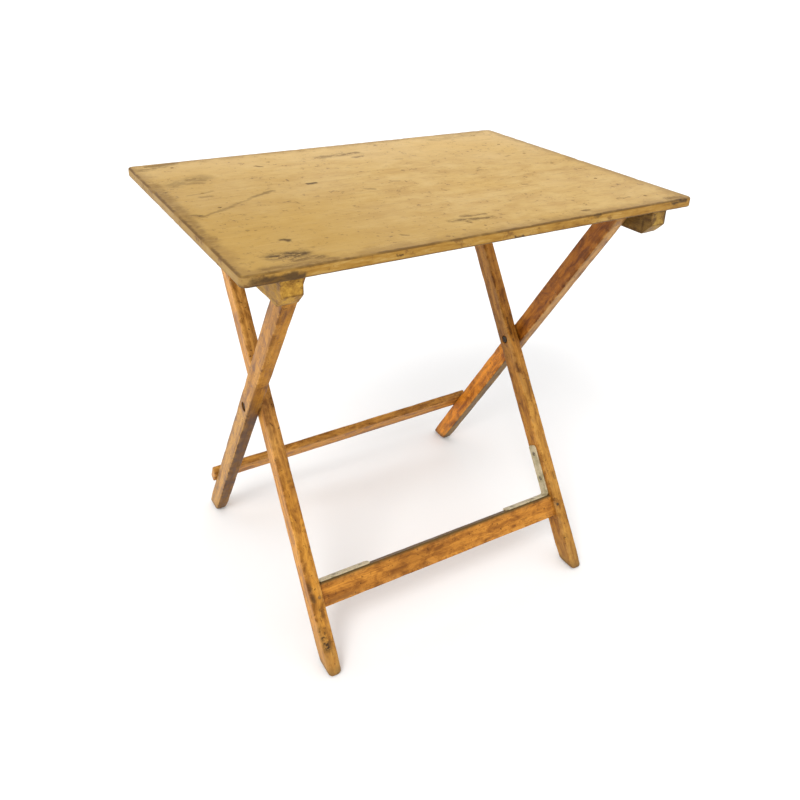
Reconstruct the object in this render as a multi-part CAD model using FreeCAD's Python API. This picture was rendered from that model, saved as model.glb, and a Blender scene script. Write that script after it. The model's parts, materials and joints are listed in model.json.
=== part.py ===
import FreeCAD, Part
import math
import os

# Folding table with crossed wooden legs. Millimetres, +Z up, origin on the floor under the middle of the top.
# X runs along the top's long side. Y runs from the front long edge to the back one.
# Each side has an outer leg (pivoted to the top at the front, foot at the back) and an inner leg
# (foot at the front, upper end under the back of the top), bolted together where they cross.

# ---- driving dimensions -------------------------------------------------------------------------
TABLE_HEIGHT = 650.0
TOP_LENGTH = 674.0
TOP_DEPTH = 495.0
TOP_THICK = 14.0
TOP_CORNER_R = 9.0
TOP_ARRIS_R = 2.5

LEG_WIDTH = 31.0            # seen from the side
LEG_THICK = 20.5            # across the table
LEG_ARRIS_R = 2.0
LEG_LEAN = 33.4             # degrees from the vertical
CROSS_HEIGHT = 339.0        # height of the crossing pivots
OUTER_LEG_FACE = 262.9      # outer face of the outer legs from the middle
LEG_GAP = 1.5               # between an outer and an inner leg, taken up by a washer
TOP_CLEARANCE = 0.3         # rounded leg ends to the underside of the top

BATTEN_WIDTH = 27.5
BATTEN_DEPTH = 36.5
BATTEN_CHAMFER = 16.0
BATTEN_SETBACK = 4.0        # its ends, behind the top's edges
BATTEN_GAP = 1.3            # batten to outer leg

FRONT_STRETCHER_LOW = 88.5      # along the leg from the floor
FRONT_STRETCHER_HEIGHT = 36.5
FRONT_STRETCHER_THICK = 18.0
FRONT_STRETCHER_OFFSET = 10.0   # its front face, in front of the leg's middle line
TENON_LENGTH = 12.0
TENON_THICK = 8.0
TENON_HEIGHT = 25.0

REAR_STRETCHER_MID = 115.5      # along the leg from the floor, at the middle of the board
REAR_STRETCHER_HEIGHT = 36.5
REAR_STRETCHER_THICK = 14.0
REAR_STRETCHER_LEFT_END = 5.0   # past the left leg's outer face
REAR_STRETCHER_RIGHT_END = -1.5 # past the right leg's outer face
REAR_STRETCHER_TILT = 3.1       # degrees out of level, left end lower

RAIL_R = 11.0
RAIL_TENON_R = 7.0
RAIL_TENON_LENGTH = 12.0

STOP_LENGTH = 55.0
STOP_WIDTH = 26.0
STOP_DEPTH = 30.0
STOP_CENTRE_X = 150.0
STOP_CLEARANCE = 0.5        # rail to stop block

BRACKET_ARM = 89.0
BRACKET_WIDTH = 19.0
BRACKET_THICK = 2.2
BRACKET_BEND_R = 4.0
BRACKET_SHIFT = -2.5        # its middle line, measured from the leg's middle line
BRACKET_HOLES = (30.0, 74.0)    # from the outside of the bend

BOLT_R = 3.0
RUNNING_CLEARANCE = 0.08
BOLT_HEAD_R = 5.5
BOLT_HEAD_HEIGHT = 3.0
RECESS_R = 7.5
RECESS_DEPTH = 5.0
NUT_FLATS = 10.0
NUT_HEIGHT = 4.5
WASHER_R = 8.0
WASHER_THICK = 1.2
AXIAL_PLAY = 0.3            # between parts that turn against each other

NAIL_R = 1.4
NAIL_HEAD_R = 2.6
NAIL_HEAD_HEIGHT = 1.0
SCREW_R = 2.0
SCREW_HEAD_R = 3.8
SCREW_HEAD_HEIGHT = 2.4
SEAT = 0.02                 # fixed fasteners and tenons to the wood around them

TOP_NAIL_Y = (-212.0, -110.0, -8.0, 64.0, 136.0, 212.0)
TOP_NAIL_LENGTH = 36.0
TENON_NAIL_LENGTH = 24.0
REAR_SCREW_LENGTH = 32.0
BRACKET_SCREW_LENGTH = 14.0
STOP_SCREW_LENGTH = 38.0
STOP_SCREW_SPACING = 32.0

# ---- derived positions --------------------------------------------------------------------------
UNDERSIDE = TABLE_HEIGHT - TOP_THICK
PIVOT_HEIGHT = UNDERSIDE - TOP_CLEARANCE - LEG_WIDTH / 2
LEAN = math.radians(LEG_LEAN)
PIVOT_Y = -(PIVOT_HEIGHT - CROSS_HEIGHT) * math.tan(LEAN)
FOOT_Y = CROSS_HEIGHT * math.tan(LEAN)
LEG_LENGTH = PIVOT_HEIGHT / math.cos(LEAN)
CROSS_ALONG = CROSS_HEIGHT / math.cos(LEAN)
OUTER_X = OUTER_LEG_FACE - LEG_THICK / 2
INNER_X = OUTER_X - LEG_THICK - LEG_GAP
INNER_FACE = INNER_X - LEG_THICK / 2
BATTEN_X = OUTER_LEG_FACE + BATTEN_GAP + BATTEN_WIDTH / 2

SIDES = (("left", -1), ("right", 1))
X_AXIS = FreeCAD.Vector(1, 0, 0)
Y_AXIS = FreeCAD.Vector(0, 1, 0)
Z_AXIS = FreeCAD.Vector(0, 0, 1)


# ---- helpers ------------------------------------------------------------------------------------
def centred_box(size_x, size_y, size_z, x=0.0, y=0.0, z=0.0):
    corner = FreeCAD.Vector(x - size_x / 2, y - size_y / 2, z - size_z / 2)
    return Part.makeBox(size_x, size_y, size_z, corner)


def rounded_box(size_x, size_y, size_z, radius, centre, along=None):
    """Box with its edges rounded: all of them, or only those that run along one axis."""
    box = centred_box(size_x, size_y, size_z, *centre)
    edges = [edge for edge in box.Edges if along is None or abs(edge.tangentAt(0).dot(along)) > 0.99]
    return box.makeFillet(radius, edges)


def rod(radius, length, start, direction):
    return Part.makeCylinder(radius, length, start, direction)


def to_frame(shape, foot_y, lean_sign):
    """Stand a shape made along a vertical leg (foot at the origin) in a leaning leg frame."""
    shape = shape.copy()
    shape.rotate(FreeCAD.Vector(0, 0, 0), X_AXIS, lean_sign * LEG_LEAN)
    shape.translate(FreeCAD.Vector(0, foot_y, 0))
    return shape


def outer_frame(shape):
    return to_frame(shape, FOOT_Y, 1)


def inner_frame(shape):
    return to_frame(shape, -FOOT_Y, -1)


def countersunk_screw(tip_length, point, direction, slack=0.0):
    """Screw whose flat head is flush with the surface at point and which runs along direction."""
    head = Part.makeCone(SCREW_HEAD_R + slack, SCREW_R + slack, SCREW_HEAD_HEIGHT, point, direction)
    return head.fuse(rod(SCREW_R + slack, tip_length + slack, point, direction)).removeSplitter()


def nail(length, point, direction, slack=0.0):
    """Wire nail with its head flush at point."""
    head = rod(NAIL_HEAD_R + slack, NAIL_HEAD_HEIGHT, point, direction)
    return head.fuse(rod(NAIL_R + slack, length + slack, point, direction)).removeSplitter()


def hexagonal_nut(point, direction):
    """Nut whose first face is at point, on a bolt that runs along direction (plus or minus X)."""
    corner_r = NUT_FLATS / math.sqrt(3)
    corners = []
    for index in range(7):
        angle = math.radians(60 * index)
        corners.append(point + FreeCAD.Vector(0, corner_r * math.cos(angle), corner_r * math.sin(angle)))
    prism = Part.Face(Part.makePolygon(corners)).extrude(direction * NUT_HEIGHT)
    return prism.cut(rod(BOLT_R + SEAT, NUT_HEIGHT, point, direction))


def washer(thick, point, direction):
    return rod(WASHER_R, thick, point, direction).cut(rod(BOLT_R + SEAT, thick, point, direction))


def group(shapes):
    return Part.makeCompound(shapes)


# ---- wooden pieces of the top -------------------------------------------------------------------
def make_tabletop():
    centre = (0, 0, TABLE_HEIGHT - TOP_THICK / 2)
    board = rounded_box(TOP_LENGTH, TOP_DEPTH, TOP_THICK, TOP_CORNER_R, centre, Z_AXIS)
    rims = [edge for edge in board.Edges if edge.BoundBox.ZLength < 0.01]
    board = board.makeFillet(TOP_ARRIS_R, rims)
    for _, side in SIDES:
        for hole in top_nails(side, SEAT):
            board = board.cut(hole)
        for hole in stop_screws(side, SEAT):
            board = board.cut(hole)
    return board


def top_nails(side, slack=0.0):
    down = FreeCAD.Vector(0, 0, -1)
    return [nail(TOP_NAIL_LENGTH, FreeCAD.Vector(side * BATTEN_X, y, TABLE_HEIGHT), down, slack)
            for y in TOP_NAIL_Y]


def make_batten(side):
    """Strip under the top with the lower part of each end cut off at 45 degrees."""
    half = TOP_DEPTH / 2 - BATTEN_SETBACK
    low = UNDERSIDE - BATTEN_DEPTH
    outline = [(-half, UNDERSIDE), (-half, low + BATTEN_CHAMFER), (-half + BATTEN_CHAMFER, low),
               (half - BATTEN_CHAMFER, low), (half, low + BATTEN_CHAMFER), (half, UNDERSIDE), (-half, UNDERSIDE)]
    start_x = side * BATTEN_X - BATTEN_WIDTH / 2
    wire = Part.makePolygon([FreeCAD.Vector(start_x, y, z) for y, z in outline])
    batten = Part.Face(wire).extrude(X_AXIS * BATTEN_WIDTH)
    hole_start = FreeCAD.Vector(start_x, PIVOT_Y, PIVOT_HEIGHT)
    batten = batten.cut(rod(BOLT_R + RUNNING_CLEARANCE, BATTEN_WIDTH, hole_start, X_AXIS))
    for hole in top_nails(side, SEAT):
        batten = batten.cut(hole)
    return batten


def stop_front_y():
    return -PIVOT_Y + RAIL_R + STOP_CLEARANCE


def stop_screws(side, slack=0.0):
    bottom = UNDERSIDE - STOP_DEPTH
    y = stop_front_y() + STOP_WIDTH / 2
    offsets = (-STOP_SCREW_SPACING / 2, STOP_SCREW_SPACING / 2)
    return [countersunk_screw(STOP_SCREW_LENGTH, FreeCAD.Vector(side * STOP_CENTRE_X + dx, y, bottom), Z_AXIS, slack)
            for dx in offsets]


def make_stop_block(side):
    centre = (side * STOP_CENTRE_X, stop_front_y() + STOP_WIDTH / 2, UNDERSIDE - STOP_DEPTH / 2)
    block = rounded_box(STOP_LENGTH, STOP_WIDTH, STOP_DEPTH, 2.0, centre, X_AXIS)
    for hole in stop_screws(side, SEAT):
        block = block.cut(hole)
    return block


# ---- legs, made upright with the foot's middle line at the origin --------------------------------
def make_leg_blank(x):
    """Leg with a rounded upper end about its pivot and rounded long edges, longer than the foot cut."""
    spare = LEG_WIDTH
    centre = (x, 0, (LEG_LENGTH - spare) / 2)
    shaft = centred_box(LEG_THICK, LEG_WIDTH, LEG_LENGTH + spare, *centre)
    head = rod(LEG_WIDTH / 2, LEG_THICK, FreeCAD.Vector(x - LEG_THICK / 2, 0, LEG_LENGTH), X_AXIS)
    leg = shaft.fuse(head).removeSplitter()
    long_edges = [edge for edge in leg.Edges if edge.BoundBox.ZLength > LEG_LENGTH]
    return leg.makeFillet(LEG_ARRIS_R, long_edges)


def cut_foot(leg):
    """Cut the leaning leg off level with the floor."""
    below = centred_box(TOP_LENGTH * 2, TOP_DEPTH * 4, TABLE_HEIGHT, 0, 0, -TABLE_HEIGHT / 2)
    return leg.cut(below)


def x_hole(radius, x_from, x_to, along):
    """Hole or recess across a leg, between two distances from the table's middle."""
    start = FreeCAD.Vector(min(x_from, x_to), 0, along)
    return rod(radius, abs(x_to - x_from), start, X_AXIS)


def make_outer_leg(side):
    x = side * OUTER_X
    outer_face = side * OUTER_LEG_FACE
    inner_face = side * (OUTER_LEG_FACE - LEG_THICK)
    leg = make_leg_blank(x)
    leg = leg.cut(x_hole(BOLT_R + RUNNING_CLEARANCE, inner_face, outer_face, LEG_LENGTH))
    leg = leg.cut(x_hole(RECESS_R, inner_face, inner_face + side * RECESS_DEPTH, LEG_LENGTH))
    leg = leg.cut(x_hole(BOLT_R + SEAT, inner_face, outer_face, CROSS_ALONG))
    leg = leg.cut(x_hole(RECESS_R, outer_face - side * RECESS_DEPTH, outer_face, CROSS_ALONG))
    for hole in rear_stretcher_screws(side, SEAT):
        leg = leg.cut(hole)
    return cut_foot(outer_frame(leg))


def make_inner_leg(side):
    x = side * INNER_X
    outer_face = side * (INNER_FACE + LEG_THICK)
    inner_face = side * INNER_FACE
    leg = make_leg_blank(x)
    leg = leg.cut(x_hole(BOLT_R + RUNNING_CLEARANCE, inner_face, outer_face, CROSS_ALONG))
    leg = leg.cut(x_hole(RECESS_R, inner_face, inner_face + side * RECESS_DEPTH, CROSS_ALONG))
    leg = leg.cut(x_hole(RAIL_TENON_R + SEAT, inner_face, inner_face + side * (RAIL_TENON_LENGTH + SEAT), LEG_LENGTH))
    leg = leg.cut(stretcher_tenon(side, SEAT))
    for hole in stretcher_nails(side, SEAT) + rail_nails(side, SEAT) + leg_bracket_screws(side, SEAT):
        leg = leg.cut(hole)
    return cut_foot(inner_frame(leg))


# ---- front stretcher, rear stretcher and top rail ------------------------------------------------
def stretcher_mid():
    return FRONT_STRETCHER_LOW + FRONT_STRETCHER_HEIGHT / 2


def stretcher_centre_y():
    return -(FRONT_STRETCHER_OFFSET - FRONT_STRETCHER_THICK / 2)


def stretcher_tenon(side, slack=0.0):
    length = TENON_LENGTH + slack
    x = side * (INNER_FACE + length / 2)
    return centred_box(length, TENON_THICK + 2 * slack, TENON_HEIGHT + 2 * slack, x, stretcher_centre_y(), stretcher_mid())


def stretcher_nails(side, slack=0.0):
    start = FreeCAD.Vector(side * (INNER_FACE + TENON_LENGTH / 2), -LEG_WIDTH / 2, stretcher_mid())
    return [nail(TENON_NAIL_LENGTH, start, Y_AXIS, slack)]


def rail_nails(side, slack=0.0):
    start = FreeCAD.Vector(side * (INNER_FACE + RAIL_TENON_LENGTH / 2), -LEG_WIDTH / 2, LEG_LENGTH)
    return [nail(TENON_NAIL_LENGTH, start, Y_AXIS, slack)]


def make_front_stretcher():
    centre = (0, stretcher_centre_y(), stretcher_mid())
    board = rounded_box(2 * INNER_FACE, FRONT_STRETCHER_THICK, FRONT_STRETCHER_HEIGHT, 1.5, centre, X_AXIS)
    for _, side in SIDES:
        board = board.fuse(stretcher_tenon(side))
    for _, side in SIDES:
        for hole in stretcher_nails(side, SEAT) + stretcher_bracket_screws(side, SEAT):
            board = board.cut(hole)
    return inner_frame(board)


def tilt_rear(shape):
    """Turn a level shape of the rear stretcher, which was fixed slightly out of level."""
    shape = shape.copy()
    shape.rotate(FreeCAD.Vector(0, 0, REAR_STRETCHER_MID), Y_AXIS, -REAR_STRETCHER_TILT)
    return shape


def rear_stretcher_screws(side, slack=0.0):
    back = LEG_WIDTH / 2 + REAR_STRETCHER_THICK
    offsets = (-REAR_STRETCHER_HEIGHT * 0.22, REAR_STRETCHER_HEIGHT * 0.22)
    screws = [countersunk_screw(REAR_SCREW_LENGTH, FreeCAD.Vector(side * OUTER_X, back, REAR_STRETCHER_MID + dz),
                                -Y_AXIS, slack) for dz in offsets]
    return [tilt_rear(screw) for screw in screws]


def make_rear_stretcher():
    length = 2 * OUTER_LEG_FACE + REAR_STRETCHER_LEFT_END + REAR_STRETCHER_RIGHT_END
    middle_x = (REAR_STRETCHER_RIGHT_END - REAR_STRETCHER_LEFT_END) / 2
    centre = (middle_x, LEG_WIDTH / 2 + REAR_STRETCHER_THICK / 2, REAR_STRETCHER_MID)
    board = rounded_box(length, REAR_STRETCHER_THICK, REAR_STRETCHER_HEIGHT, 2.0, centre, X_AXIS)
    board = tilt_rear(board)
    for _, side in SIDES:
        for hole in rear_stretcher_screws(side, SEAT):
            board = board.cut(hole)
    return outer_frame(board)


def make_top_rail():
    start = FreeCAD.Vector(-INNER_FACE, 0, LEG_LENGTH)
    rail = rod(RAIL_R, 2 * INNER_FACE, start, X_AXIS)
    tenon_start = FreeCAD.Vector(-INNER_FACE - RAIL_TENON_LENGTH, 0, LEG_LENGTH)
    rail = rail.fuse(rod(RAIL_TENON_R, 2 * (INNER_FACE + RAIL_TENON_LENGTH), tenon_start, X_AXIS)).removeSplitter()
    for _, side in SIDES:
        for hole in rail_nails(side, SEAT):
            rail = rail.cut(hole)
    return inner_frame(rail)


# ---- steel corner brackets -----------------------------------------------------------------------
def bracket_corner_z():
    return FRONT_STRETCHER_LOW + FRONT_STRETCHER_HEIGHT


def leg_bracket_screws(side, slack=0.0):
    """Screws through the bracket's upright arm into the inner leg."""
    outward = X_AXIS * side
    surface = side * (INNER_FACE - BRACKET_THICK)
    return [countersunk_screw(BRACKET_SCREW_LENGTH, FreeCAD.Vector(surface, -BRACKET_SHIFT, bracket_corner_z() + hole),
                              outward, slack) for hole in BRACKET_HOLES]


def stretcher_bracket_screws(side, slack=0.0):
    """Screws through the bracket's lower arm into the top edge of the stretcher."""
    surface = bracket_corner_z() + BRACKET_THICK
    return [countersunk_screw(BRACKET_SCREW_LENGTH, FreeCAD.Vector(side * (INNER_FACE - hole), -BRACKET_SHIFT, surface),
                              -Z_AXIS, slack) for hole in BRACKET_HOLES]


def make_bracket(side):
    """Flat steel strip bent to a right angle in the corner of stretcher and leg."""
    x0 = side * INNER_FACE
    z0 = bracket_corner_z()
    arm = BRACKET_ARM
    thick = BRACKET_THICK
    outline = [(0, 0), (arm, 0), (arm, thick), (thick, thick), (thick, arm), (0, arm), (0, 0)]
    points = [FreeCAD.Vector(x0 - side * dx, -BRACKET_SHIFT - BRACKET_WIDTH / 2, z0 + dz) for dx, dz in outline]
    plate = Part.Face(Part.makePolygon(points)).extrude(Y_AXIS * BRACKET_WIDTH)
    plate = round_bend(plate, x0, z0, BRACKET_BEND_R + thick)
    plate = round_bend(plate, x0 - side * thick, z0 + thick, BRACKET_BEND_R)
    for hole in leg_bracket_screws(side, SEAT) + stretcher_bracket_screws(side, SEAT):
        plate = plate.cut(hole)
    return inner_frame(plate)


def round_bend(plate, x, z, radius):
    bends = [edge for edge in plate.Edges
             if abs(edge.BoundBox.YLength - BRACKET_WIDTH) < 0.01
             and abs(edge.BoundBox.XMin - x) < 0.01 and abs(edge.BoundBox.ZMin - z) < 0.01]
    return plate.makeFillet(radius, bends)


# ---- pivots --------------------------------------------------------------------------------------
def make_top_pivot(side):
    """Bolt from a recess in the outer leg's inner face, out through the leg and the batten."""
    outward = X_AXIS * side
    seat_x = OUTER_LEG_FACE - LEG_THICK + RECESS_DEPTH - AXIAL_PLAY
    washer_x = OUTER_LEG_FACE + BATTEN_GAP + BATTEN_WIDTH + AXIAL_PLAY
    nut_x = washer_x + WASHER_THICK
    tip_x = nut_x + NUT_HEIGHT + 1.5

    def at(x):
        return FreeCAD.Vector(side * x, PIVOT_Y, PIVOT_HEIGHT)

    head = rod(BOLT_HEAD_R, BOLT_HEAD_HEIGHT, at(seat_x - BOLT_HEAD_HEIGHT), outward)
    bolt = head.fuse(rod(BOLT_R, tip_x - seat_x, at(seat_x), outward)).removeSplitter()
    return bolt, hexagonal_nut(at(nut_x), outward), washer(WASHER_THICK, at(washer_x), outward)


def make_cross_pivot(side):
    """Bolt from a recess in the outer leg's outer face, in through both legs."""
    inward = X_AXIS * -side
    seat_x = OUTER_LEG_FACE - RECESS_DEPTH
    between_x = OUTER_LEG_FACE - LEG_THICK
    nut_x = INNER_FACE + RECESS_DEPTH - AXIAL_PLAY

    def at(x):
        return FreeCAD.Vector(side * x, 0, CROSS_HEIGHT)

    tip_x = INNER_FACE + 0.5
    head = rod(BOLT_HEAD_R, BOLT_HEAD_HEIGHT, at(seat_x + BOLT_HEAD_HEIGHT), inward)
    bolt = head.fuse(rod(BOLT_R, seat_x - tip_x, at(seat_x), inward)).removeSplitter()
    return bolt, hexagonal_nut(at(nut_x), inward), washer(WASHER_THICK, at(between_x), inward)


# ---- build all nodes and write them --------------------------------------------------------------
def make_nodes():
    nodes = {"tabletop": make_tabletop(),
             "front_stretcher": make_front_stretcher(),
             "rear_stretcher": make_rear_stretcher(),
             "top_rail": make_top_rail()}
    for name, side in SIDES:
        top_bolt, top_nut, top_washer = make_top_pivot(side)
        cross_bolt, cross_nut, cross_washer = make_cross_pivot(side)
        nodes.update({
            "batten_" + name: make_batten(side),
            "batten_nails_" + name: group(top_nails(side)),
            "stop_block_" + name: make_stop_block(side),
            "stop_block_screws_" + name: group(stop_screws(side)),
            "outer_leg_" + name: make_outer_leg(side),
            "inner_leg_" + name: make_inner_leg(side),
            "rear_stretcher_screws_" + name: outer_frame(group(rear_stretcher_screws(side))),
            "front_stretcher_nail_" + name: inner_frame(stretcher_nails(side)[0]),
            "top_rail_nail_" + name: inner_frame(rail_nails(side)[0]),
            "bracket_" + name: make_bracket(side),
            "bracket_leg_screws_" + name: inner_frame(group(leg_bracket_screws(side))),
            "bracket_stretcher_screws_" + name: inner_frame(group(stretcher_bracket_screws(side))),
            "top_pivot_bolt_" + name: top_bolt,
            "top_pivot_nut_" + name: top_nut,
            "top_pivot_washer_" + name: top_washer,
            "cross_pivot_bolt_" + name: cross_bolt,
            "cross_pivot_nut_" + name: cross_nut,
            "cross_pivot_washer_" + name: cross_washer,
        })
    return nodes


os.makedirs("parts", exist_ok=True)
for node_name, node_shape in make_nodes().items():
    node_shape.exportStep(os.path.join("parts", node_name + ".step"))
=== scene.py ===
import json
import math

import bmesh
import bpy
from mathutils import Matrix, Vector, noise


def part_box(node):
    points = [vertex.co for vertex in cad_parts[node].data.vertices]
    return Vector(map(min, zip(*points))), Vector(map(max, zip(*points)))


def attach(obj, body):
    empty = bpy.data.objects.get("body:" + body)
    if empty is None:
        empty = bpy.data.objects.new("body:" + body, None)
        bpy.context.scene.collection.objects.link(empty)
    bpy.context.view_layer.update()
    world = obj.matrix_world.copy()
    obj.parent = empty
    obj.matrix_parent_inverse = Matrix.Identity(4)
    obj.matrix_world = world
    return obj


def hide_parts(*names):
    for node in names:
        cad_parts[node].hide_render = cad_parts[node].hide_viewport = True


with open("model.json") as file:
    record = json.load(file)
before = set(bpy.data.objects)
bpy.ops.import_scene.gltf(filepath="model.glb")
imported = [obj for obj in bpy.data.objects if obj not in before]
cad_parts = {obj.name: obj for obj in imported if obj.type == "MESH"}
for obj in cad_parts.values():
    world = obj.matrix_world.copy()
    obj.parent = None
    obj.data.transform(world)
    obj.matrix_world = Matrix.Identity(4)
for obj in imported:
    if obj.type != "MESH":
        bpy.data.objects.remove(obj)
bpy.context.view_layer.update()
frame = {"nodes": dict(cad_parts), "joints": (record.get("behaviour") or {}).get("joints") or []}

MM = 0.001
SIDES = (("left", -1), ("right", 1))
# rear stretcher's width and its fall to the left
REAR_HEIGHT, REAR_TILT = 36.5 * MM, math.radians(3.1)
# recesses of the pivots' heads and nuts: radius, depth, and how far the cutter stands out
RECESS_RADIUS, RECESS_DEEP, RECESS_CLEAR = 7.5 * MM, 5 * MM, 3 * MM
# cut at a batten's ends, rounding of a foot, deepest chip in an arris
CHAMFER, FOOT_ROUND, CHIP = 16 * MM, 7 * MM, 1.3 * MM
# screws: the head's radius and depth, and the shank as (radius, depth)
HEAD_RADIUS, HEAD_DEPTH = 3.7 * MM, 1.6 * MM
SHANK = [(0.0, 1.4 * MM), (2.6 * MM, 1.4 * MM), (1.9 * MM, 2.8 * MM), (1.9 * MM, 11 * MM), (0.0, 13 * MM)]

# ---- positions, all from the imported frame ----
joints = {joint["name"]: joint for joint in frame["joints"]}
TOP_PIVOT = Vector(joints["top_to_outer_legs"]["pos_m"])
CROSSING = Vector(joints["legs_scissor"]["pos_m"])
LEAN = math.atan2(CROSSING.y - TOP_PIVOT.y, TOP_PIVOT.z - CROSSING.z)
FOOT_Y = CROSSING.z * math.tan(LEAN)
LEG_LENGTH = TOP_PIVOT.z / math.cos(LEAN)
TOP_LOW, TOP_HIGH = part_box("tabletop")
UNDERSIDE = TOP_LOW.z
LEG_LOW, LEG_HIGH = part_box("outer_leg_right")
LEG_WIDTH = 2 * (LEG_HIGH.z - TOP_PIVOT.z)
LEG_THICK = LEG_HIGH.x - LEG_LOW.x

OUTER = Matrix.Translation((0, FOOT_Y, 0)) @ Matrix.Rotation(LEAN, 4, "X")
INNER = Matrix.Translation((0, -FOOT_Y, 0)) @ Matrix.Rotation(-LEAN, 4, "X")


def local_box(node, matrix):
    """Box of a CAD node in the upright frame of its pair of legs."""
    inverse = matrix.inverted()
    points = [inverse @ vertex.co for vertex in frame["nodes"][node].data.vertices]
    low = Vector([min(point[axis] for point in points) for axis in range(3)])
    high = Vector([max(point[axis] for point in points) for axis in range(3)])
    return low, high


# ---- node materials ----
class Shader:
    """Small helper that adds nodes to one material."""

    def __init__(self, name):
        self.material = bpy.data.materials.new(name)
        self.material.use_nodes = True
        self.tree = self.material.node_tree
        self.tree.nodes.clear()
        self.surface = self.add("ShaderNodeBsdfPrincipled")
        output = self.add("ShaderNodeOutputMaterial")
        self.link(self.surface.outputs[0], output.inputs[0])

    def add(self, kind, **settings):
        node = self.tree.nodes.new(kind)
        for key, value in settings.items():
            setattr(node, key, value)
        return node

    def link(self, source, target):
        self.tree.links.new(source, target)

    def put(self, socket, value):
        """Link an output to a socket, or set the socket to a plain value."""
        if hasattr(value, "is_output"):
            self.link(value, socket)
        else:
            socket.default_value = value

    def position(self, turn_x=0.0, shift_y=0.0):
        """Object coordinates; with a turn, those of a leaning leg frame stood upright."""
        coordinates = self.add("ShaderNodeTexCoord")
        if not turn_x:
            return coordinates.outputs["Object"]
        turn = self.add("ShaderNodeMapping", vector_type="POINT")
        turn.inputs["Rotation"].default_value = (turn_x, 0, 0)
        turn.inputs["Location"].default_value = Matrix.Rotation(turn_x, 3, "X") @ Vector((0, shift_y, 0))
        self.link(coordinates.outputs["Object"], turn.inputs["Vector"])
        return turn.outputs[0]

    def scaled(self, vector, scale, offset=(0, 0, 0)):
        node = self.add("ShaderNodeMapping", vector_type="POINT")
        node.inputs["Scale"].default_value = scale
        node.inputs["Location"].default_value = offset
        self.link(vector, node.inputs["Vector"])
        return node.outputs[0]

    def noise(self, vector, scale, detail, roughness, distortion=0.0, output="Fac"):
        node = self.add("ShaderNodeTexNoise")
        node.inputs["Scale"].default_value = scale
        node.inputs["Detail"].default_value = detail
        node.inputs["Roughness"].default_value = roughness
        node.inputs["Distortion"].default_value = distortion
        self.link(vector, node.inputs["Vector"])
        return node.outputs[output]

    def math(self, operation, *values, clamp=False):
        node = self.add("ShaderNodeMath", operation=operation, use_clamp=clamp)
        for socket, value in zip(node.inputs, values):
            self.put(socket, value)
        return node.outputs[0]

    def times(self, first, second):
        return self.math("MULTIPLY", first, second)

    def plus(self, value, other, share):
        """A value plus a share of another."""
        return self.math("MULTIPLY_ADD", other, share, value)

    def vector_math(self, operation, first, second=None, scale=None):
        """A vector, or the number that a dot product or a distance gives."""
        node = self.add("ShaderNodeVectorMath", operation=operation)
        self.put(node.inputs[0], first)
        if second is not None:
            self.put(node.inputs[1], second)
        if scale is not None:
            self.put(node.inputs["Scale"], scale)
        return node.outputs["Value" if operation in ("DOT_PRODUCT", "DISTANCE") else "Vector"]

    def span(self, value, low, high, to_low=0.0, to_high=1.0):
        """Smoothly maps low..high to to_low..to_high."""
        node = self.add("ShaderNodeMapRange", interpolation_type="SMOOTHSTEP")
        self.put(node.inputs[0], value)
        for index, number in enumerate((low, high, to_low, to_high), start=1):
            node.inputs[index].default_value = number
        return node.outputs[0]

    def ramp(self, value, stops):
        node = self.add("ShaderNodeValToRGB")
        elements = node.color_ramp.elements
        while len(elements) < len(stops):
            elements.new(0.5)
        for element, (place, colour) in zip(elements, stops):
            element.position = place
            element.color = (*colour, 1.0)
        self.put(node.inputs[0], value)
        return node.outputs[0]

    def mix(self, factor, first, second, blend="MIX"):
        node = self.add("ShaderNodeMix", data_type="RGBA", blend_type=blend)
        node.clamp_factor = True
        self.put(node.inputs[0], factor)
        for index, colour in ((6, first), (7, second)):
            self.put(node.inputs[index], colour if hasattr(colour, "is_output") else (*colour, 1.0))
        return node.outputs[2]

    def layer(self, colour, value, low, high, share, other, within=None, blend="MIX"):
        """Mix in another colour, up to a share, as a value passes from low to high."""
        factor = self.span(value, low, high, 0.0, share)
        if within is not None:
            factor = self.times(factor, within)
        return self.mix(factor, colour, other, blend)

    def attribute(self, name):
        return self.add("ShaderNodeAttribute", attribute_name=name).outputs["Fac"]

    def axis(self, vector, index):
        node = self.add("ShaderNodeSeparateXYZ")
        self.link(vector, node.inputs[0])
        return node.outputs[index]

    def stroke(self, position, start, end, width, strength, softness):
        """A straight mark's strength between two points, fading to 0 outside its width."""
        start, end = Vector(start).to_3d(), Vector(end).to_3d()
        along = end - start
        relative = self.vector_math("SUBTRACT", position, tuple(start))
        share = self.vector_math("DOT_PRODUCT", relative, tuple(along))
        share = self.math("DIVIDE", share, along.length_squared, clamp=True)
        foot = self.vector_math("SCALE", tuple(along), scale=share)
        gap = self.vector_math("DISTANCE", relative, foot)
        return self.span(gap, width, width * softness, 0.0, strength)

    def strokes(self, position, marks, softness):
        """The strongest of several marks: each is (start, end, half width, strength)."""
        strongest = 0.0
        for mark in marks:
            strongest = self.math("MAXIMUM", strongest, self.stroke(position, *mark, softness))
        return strongest

    def relief(self, distance, strength, *parts):
        """Bump whose height is a sum of shares: each part is (value, share)."""
        height = 0.0
        for value, share in parts:
            height = self.plus(height, value, share)
        node = self.add("ShaderNodeBump")
        node.inputs["Strength"].default_value = strength
        node.inputs["Distance"].default_value = distance
        self.link(height, node.inputs["Height"])
        return node.outputs[0]

    def finish(self, colour, roughness, normal, metallic=0.0, coat=0.0, gloss=0.5):
        self.put(self.surface.inputs["Base Color"], colour)
        self.put(self.surface.inputs["Roughness"], roughness)
        self.put(self.surface.inputs["Metallic"], metallic)
        self.surface.inputs["Specular IOR Level"].default_value = gloss
        self.surface.inputs["Coat Weight"].default_value = coat
        self.surface.inputs["Coat Roughness"].default_value = 0.30
        self.link(normal, self.surface.inputs["Normal"])
        return self.material


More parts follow.
